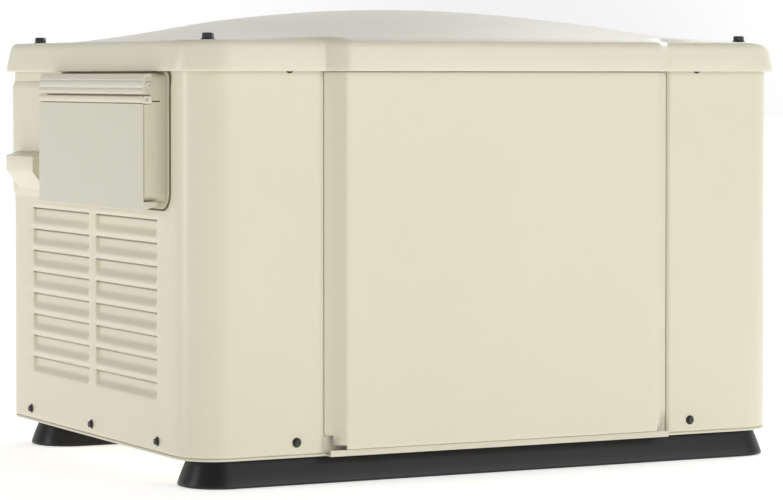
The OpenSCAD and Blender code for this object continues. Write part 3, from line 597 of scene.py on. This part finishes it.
for x in (-1, 1):
    for y in (-1, 1):
        fastener(s, (x * (HX - 40.5), y * (HY - 40.5), ZPL), (0, 0, 1), 9.5, 7.6, 8.9, 2.2)
        s.lathe([(0, -27.8), (2.2, -27.5), (2.95, -26.5), (2.95, 0.5), (0, 0.5)], lambda a, b, h, x=x, y=y: (x * (HX - 40.5) + a, y * (HY - 40.5) + b, ZPL + h), 20)
o = make("lid_bolt_heads", s.v, s.f, "black_steel", "lid", ["lid_bolts"], auto=30); recalc(o)

# ------------------------------------------------------------------ CAD nodes that stay: crisp rolled edges and finished materials
done = set()
for n, ob in NODES.items():
    ob.data.materials.clear()
    ob.data.materials.append(MATS[slot_of[n]])
    w = ob.modifiers.new("weld", "WELD"); w.merge_threshold = 1e-6
    d = ob.modifiers.new("flat", "DECIMATE"); d.decimate_type = "DISSOLVE"; d.angle_limit = math.radians(1.5)
    b = ob.modifiers.new("bevel", "BEVEL"); b.width = 0.0006; b.segments = 2; b.limit_method = "ANGLE"; b.angle_limit = math.radians(40)

# ------------------------------------------------------------------ stage, light, camera
def plane(name, size, z, col):
    me = bpy.data.meshes.new(name)
    me.from_pydata([(-size, -size, z), (size, -size, z), (size, size, z), (-size, size, z)], [], [(0, 1, 2, 3)])
    o = bpy.data.objects.new(name, me); scene.collection.objects.link(o)
    me.materials.append(surface(name + "_paint", col, 0.85, var=0.004, grain=40, bump=0.02, bump_d=0.0005, spec=0.1, big=0.5))
    em = me.materials[0].node_tree
    pb = [n for n in em.nodes if n.type == "BSDF_PRINCIPLED"][0]
    pb.inputs["Emission Color"].default_value = (1, 1, 1, 1); pb.inputs["Emission Strength"].default_value = 0.561
    return o
plane("floor", 30, -0.0005, [0.93, 0.93, 0.93])

world = bpy.data.worlds.new("studio"); scene.world = world; world.use_nodes = True
wt = world.node_tree
bg = wt.nodes["Background"]
# soft boxes as smooth lobes: direction, half width in degrees, strength
SKY = [
    ((0.256, -0.956, 0.139), 34, 1.15),
    ((-0.495, -0.858, 0.139), 34, 0.160),
    ((-0.858, -0.495, 0.139), 34, 0.300),
    ((-0.99, -0.0, 0.139), 34, 0.160),
    ((-0.858, 0.495, 0.139), 34, 0.160),
    ((-0.495, 0.858, 0.139), 34, 0.300),
    ((-0.0, 0.99, 0.139), 34, 0.480),
    ((0.495, 0.858, 0.139), 34, 0.800),
    ((0.858, 0.495, 0.139), 34, 0.709),
    ((0.99, 0.0, 0.139), 34, 0.450),
    ((0.858, -0.495, 0.139), 34, 0.232),
    ((0.495, -0.858, 0.139), 34, 1.80),
    ((-0.0, -0.707, 0.707), 42, 0.160),
    ((-0.612, -0.354, 0.707), 42, 0.160),
    ((-0.612, 0.354, 0.707), 42, 0.160),
    ((-0.0, 0.707, 0.707), 42, 0.160),
    ((0.612, 0.354, 0.707), 42, 0.659),
    ((0.612, -0.354, 0.707), 42, 0.160),
    ((0, 0, 1), 45, 0.160),
    ((0.7, 0.587, 0.407), 20, 3.369),
    ((-0.957, -0.256, 0.139), 16, 0.050),
    ((-0.906, -0.0, -0.423), 30, 0.250),
]
wc = wt.nodes.new("ShaderNodeTexCoord")
total = None
for d, half, k in SKY:
    dp = wt.nodes.new("ShaderNodeVectorMath"); dp.operation = "DOT_PRODUCT"
    dp.inputs[1].default_value = Vector(d).normalized()
    wt.links.new(wc.outputs["Generated"], dp.inputs[0])
    mr = wt.nodes.new("ShaderNodeMapRange"); mr.interpolation_type = "SMOOTHSTEP"
    mr.inputs["From Min"].default_value = math.cos(math.radians(half)); mr.inputs["From Max"].default_value = 1.0
    mr.inputs["To Min"].default_value = 0.0; mr.inputs["To Max"].default_value = k
    wt.links.new(dp.outputs["Value"], mr.inputs["Value"])
    if total is None: total = mr.outputs["Result"]
    else:
        ad = wt.nodes.new("ShaderNodeMath"); ad.operation = "ADD"
        wt.links.new(total, ad.inputs[0]); wt.links.new(mr.outputs["Result"], ad.inputs[1])
        total = ad.outputs[0]
wt.links.new(total, bg.inputs[1])
bg.inputs[0].default_value = (1, 1, 1, 1)

def area(name, loc, target, size, size_y, power, col=(1, 1, 1)):
    l = bpy.data.lights.new(name, "AREA"); l.shape = "RECTANGLE"; l.size = size; l.size_y = size_y; l.energy = power; l.color = col
    o = bpy.data.objects.new(name, l); scene.collection.objects.link(o)
    o.location = loc
    o.rotation_euler = (Vector(target) - Vector(loc)).to_track_quat("-Z", "Y").to_euler()
    return o
area("left_strip", (-3.3, 0.55, 0.75), (0, 0, 0.3), 0.34, 1.5, 17)

cam = bpy.data.cameras.new("camera"); co = bpy.data.objects.new("camera", cam); scene.collection.objects.link(co)
co.location = (-1.9933, -3.9253, 0.5134)
co.rotation_euler = (math.radians(88.476), 0, math.radians(-27.073))
cam.lens = 145.64; cam.sensor_width = 36; cam.shift_x = 0; cam.shift_y = -0.1135
cam.clip_start = 0.05; cam.clip_end = 100
scene.camera = co
scene.view_settings.view_transform = "Standard"
